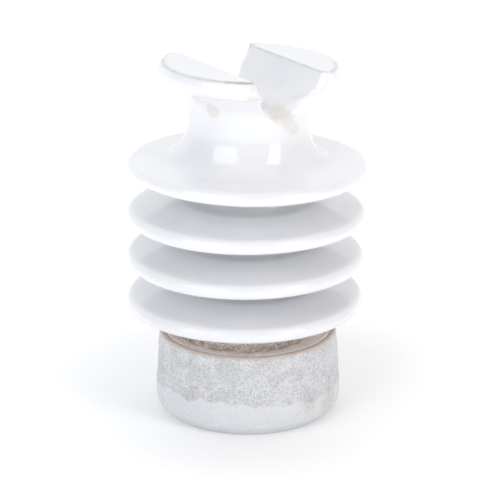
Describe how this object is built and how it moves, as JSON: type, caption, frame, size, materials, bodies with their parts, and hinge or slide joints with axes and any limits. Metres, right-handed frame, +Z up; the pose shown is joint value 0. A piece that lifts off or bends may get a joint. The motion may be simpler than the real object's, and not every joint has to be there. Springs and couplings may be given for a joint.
{
  "type": "line post insulator",
  "caption": "Tie-top line post insulator: porcelain body with sheds, a waisted neck and a grooved head, cemented into a galvanised cast-iron cup with a tapped hole.",
  "frame": {"origin": "centre of the base's underside, on the insulator's axis", "axes": "+Z up the insulator's axis, from the base to the head; +X along the conductor groove"},
  "size_m": [0.1474, 0.1474, 0.222],
  "materials": {
    "glazed_porcelain": "gloss",
    "galvanised_iron": "matte",
    "cement": "matte",
    "fired_grit": "matte",
    "bitumen": "satin",
    "cork": "matte"
  },
  "bodies": {
    "root": {"porcelain_body": "glazed_porcelain", "base_casting": "galvanised_iron", "cement_grout": "cement", "shank_sand_band": "fired_grit", "shank_bitumen_coat": "bitumen", "socket_bitumen_coat": "bitumen", "shank_end_cushion": "cork"}
  },
  "joints": []
}
